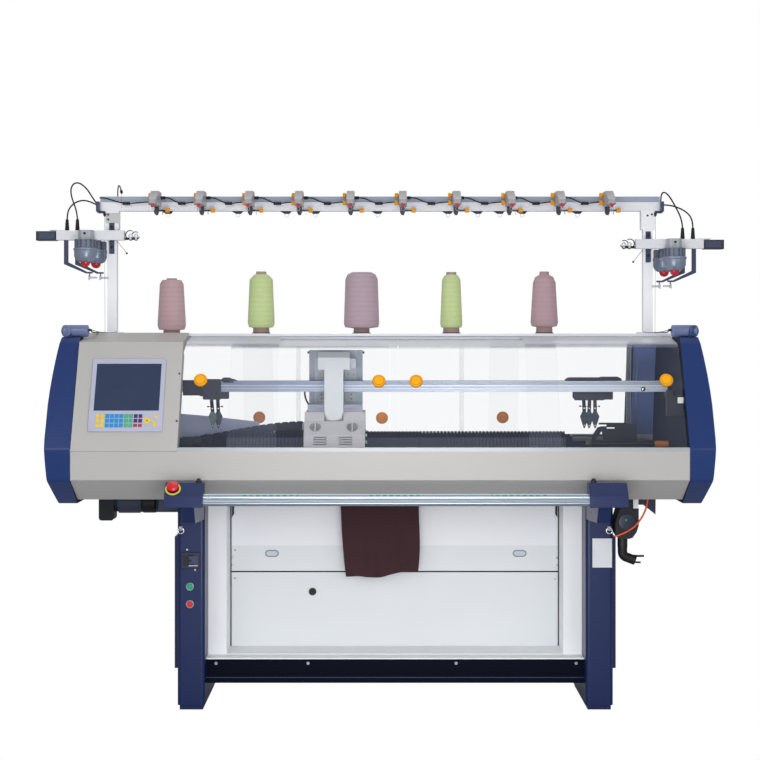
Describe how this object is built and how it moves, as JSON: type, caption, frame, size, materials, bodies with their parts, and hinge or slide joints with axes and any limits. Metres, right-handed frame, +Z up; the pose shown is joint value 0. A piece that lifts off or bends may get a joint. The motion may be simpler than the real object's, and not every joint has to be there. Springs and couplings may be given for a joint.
{
  "type": "flat knitting machine",
  "caption": "Computerised flat knitting machine: a V of needle beds under sliding clear hoods, an arch carriage, yarn cones on top and a stand with tensioners.",
  "frame": {"origin": "centre of the footprint on the floor", "axes": "+X along the needle beds to the right seen from the front, +Y from the front to the back, +Z up"},
  "size_m": [2.73, 0.9772, 2.0292],
  "materials": {
    "navy_paint": "gloss",
    "navy_moulding": "gloss",
    "white_paint": "semi-gloss",
    "beige_paint": "semi-gloss",
    "table_paint": "gloss",
    "grey_paint": "satin",
    "frame_steel": "satin",
    "bed_steel": "satin",
    "rail_aluminium": "satin",
    "clear_hood": "clear",
    "tinted_panel": "clear",
    "yarn": "wound yarn",
    "knitted_cloth": "knitted",
    "black_plastic": "matt",
    "black_rubber": "matt",
    "motor_paint": "satin",
    "screen_frame": "satin",
    "red_plastic": "gloss",
    "green_plastic": "gloss"
  },
  "bodies": {
    "base": {"left_leg": "navy_paint", "right_leg": "navy_paint", "lower_beam": "white_paint", "bed_frame": "frame_steel", "bay_liner": "white_paint", "front_cover": "beige_paint", "rear_cover": "beige_paint", "end_covers": "navy_moulding", "control_box": "beige_paint", "screen_panel": "screen_frame", "hood_rails": "rail_aluminium", "rear_end_panels": "tinted_panel", "rear_fixed_pane": "clear_hood", "yarn_table": "table_paint", "cone_holders": "black_plastic", "yarn_cones": "yarn", "yarn_rails": "rail_aluminium", "front_needle_bed": "bed_steel", "drive_motors": "motor_paint", "drive_belt": "black_rubber", "bar_brackets": "navy_paint", "switch_fittings": "black_plastic", "tension_posts": "grey_paint", "top_bar": "rail_aluminium", "tension_units": "grey_paint", "feeder_beams": "grey_paint", "storage_feeders": "grey_paint", "unit_leads": "black_rubber", "drag_chain": "black_plastic", "cloth": "knitted_cloth", "fasteners": "frame_steel", "feeder_lead_1": "black_rubber", "feeder_lead_2": "black_rubber", "feeder_lead_3": "black_rubber", "feeder_lead_4": "black_rubber"},
    "front_hood_1": {"front_hood_1": "clear_hood"},
    "front_hood_2": {"front_hood_2": "clear_hood"},
    "front_hood_3": {"front_hood_3": "clear_hood"},
    "front_hood_4": {"front_hood_4": "clear_hood"},
    "rear_hood_1": {"rear_hood_1": "clear_hood"},
    "rear_hood_2": {"rear_hood_2": "clear_hood"},
    "rear_hood_3": {"rear_hood_3": "clear_hood"},
    "carriage": {"carriage_bow": "grey_paint", "carriage_cover": "white_paint", "cam_box_covers": "beige_paint"},
    "yarn_carrier_1": {"yarn_carrier_1": "frame_steel"},
    "yarn_carrier_2": {"yarn_carrier_2": "frame_steel"},
    "yarn_carrier_3": {"yarn_carrier_3": "frame_steel"},
    "yarn_carrier_4": {"yarn_carrier_4": "frame_steel"},
    "yarn_carrier_5": {"yarn_carrier_5": "frame_steel"},
    "rear_bed": {"rear_needle_bed": "bed_steel"},
    "motor_pulley": {"motor_pulley": "frame_steel"},
    "idler_pulley": {"idler_pulley": "frame_steel"},
    "takedown_roller": {"takedown_roller": "black_rubber"},
    "press_roller": {"press_roller": "frame_steel"},
    "start_bar": {"start_bar": "rail_aluminium"},
    "emergency_stop": {"estop_button": "red_plastic"},
    "green_button": {"green_button": "green_plastic"},
    "red_button": {"red_button": "red_plastic"},
    "breaker_lever": {"breaker_lever": "black_plastic"}
  },
  "joints": [
    {"name": "front_hood_1_slide", "type": "slide", "parent": "base", "child": "front_hood_1", "axis": [1, 0, 0], "range_m": [0, 0.165]},
    {"name": "front_hood_2_slide", "type": "slide", "parent": "base", "child": "front_hood_2", "axis": [1, 0, 0], "range_m": [-0.165, 0]},
    {"name": "front_hood_3_slide", "type": "slide", "parent": "base", "child": "front_hood_3", "axis": [1, 0, 0], "range_m": [0, 0.19]},
    {"name": "front_hood_4_slide", "type": "slide", "parent": "base", "child": "front_hood_4", "axis": [1, 0, 0], "range_m": [-0.19, 0]},
    {"name": "rear_hood_1_slide", "type": "slide", "parent": "base", "child": "rear_hood_1", "axis": [1, 0, 0], "range_m": [0, 0.2]},
    {"name": "rear_hood_2_slide", "type": "slide", "parent": "base", "child": "rear_hood_2", "axis": [1, 0, 0], "range_m": [-0.2, 0]},
    {"name": "rear_hood_3_slide", "type": "slide", "parent": "base", "child": "rear_hood_3", "axis": [1, 0, 0], "range_m": [0, 0.44]},
    {"name": "carriage_slide", "type": "slide", "parent": "base", "child": "carriage", "axis": [1, 0, 0], "range_m": [-0.542, 1], "deforming": ["drag_chain"]},
    {"name": "yarn_carrier_1_slide", "type": "slide", "parent": "base", "child": "yarn_carrier_1", "axis": [1, 0, 0], "range_m": [0, 1.47]},
    {"name": "yarn_carrier_2_slide", "type": "slide", "parent": "base", "child": "yarn_carrier_2", "axis": [1, 0, 0], "range_m": [0, 1.47]},
    {"name": "yarn_carrier_3_slide", "type": "slide", "parent": "base", "child": "yarn_carrier_3", "axis": [1, 0, 0], "range_m": [-1.435, 0]},
    {"name": "yarn_carrier_4_slide", "type": "slide", "parent": "base", "child": "yarn_carrier_4", "axis": [1, 0, 0], "range_m": [-1.49, 0]},
    {"name": "yarn_carrier_5_slide", "type": "slide", "parent": "base", "child": "yarn_carrier_5", "axis": [1, 0, 0], "range_m": [-1.44, 0]},
    {"name": "rear_bed_slide", "type": "slide", "parent": "base", "child": "rear_bed", "axis": [1, 0, 0], "range_m": [-0.0127, 0.0127]},
    {"name": "motor_pulley_turn", "type": "hinge", "parent": "base", "child": "motor_pulley", "pos_m": [-1.072, 0.2385, 0.96], "axis": [0, 0, 1], "continuous": true},
    {"name": "idler_pulley_turn", "type": "hinge", "parent": "base", "child": "idler_pulley", "pos_m": [1.072, 0.2385, 0.96], "axis": [0, 0, 1], "continuous": true},
    {"name": "takedown_roller_turn", "type": "hinge", "parent": "base", "child": "takedown_roller", "pos_m": [0.062, 0.1253, 0.824], "axis": [1, 0, 0], "continuous": true},
    {"name": "press_roller_turn", "type": "hinge", "parent": "base", "child": "press_roller", "pos_m": [0.062, 0.0817, 0.824], "axis": [1, 0, 0], "continuous": true},
    {"name": "start_bar_turn", "type": "hinge", "parent": "base", "child": "start_bar", "pos_m": [0.058, -0.4515, 0.831], "axis": [1, 0, 0], "range_deg": [-20, 20], "stiffness_Nm_per_rad": 3},
    {"name": "emergency_stop_slide", "type": "slide", "parent": "base", "child": "emergency_stop", "axis": [0, -0.7071, 0.7071], "range_m": [-0.005, 0], "stiffness_N_per_m": 1500},
    {"name": "green_button_slide", "type": "slide", "parent": "base", "child": "green_button", "axis": [0, 1, 0], "range_m": [0, 0.003], "stiffness_N_per_m": 800},
    {"name": "red_button_slide", "type": "slide", "parent": "base", "child": "red_button", "axis": [0, 1, 0], "range_m": [0, 0.003], "stiffness_N_per_m": 800},
    {"name": "breaker_lever_turn", "type": "hinge", "parent": "base", "child": "breaker_lever", "pos_m": [-0.717, -0.1065, 0.568], "axis": [1, 0, 0], "range_deg": [-25, 25]}
  ],
  "couplings": [
    {"joint": "motor_pulley_turn", "follows": "carriage_slide", "rad_per_m": 37.736},
    {"joint": "idler_pulley_turn", "follows": "carriage_slide", "rad_per_m": 37.736},
    {"joint": "press_roller_turn", "follows": "takedown_roller_turn", "ratio": -1.6667}
  ]
}
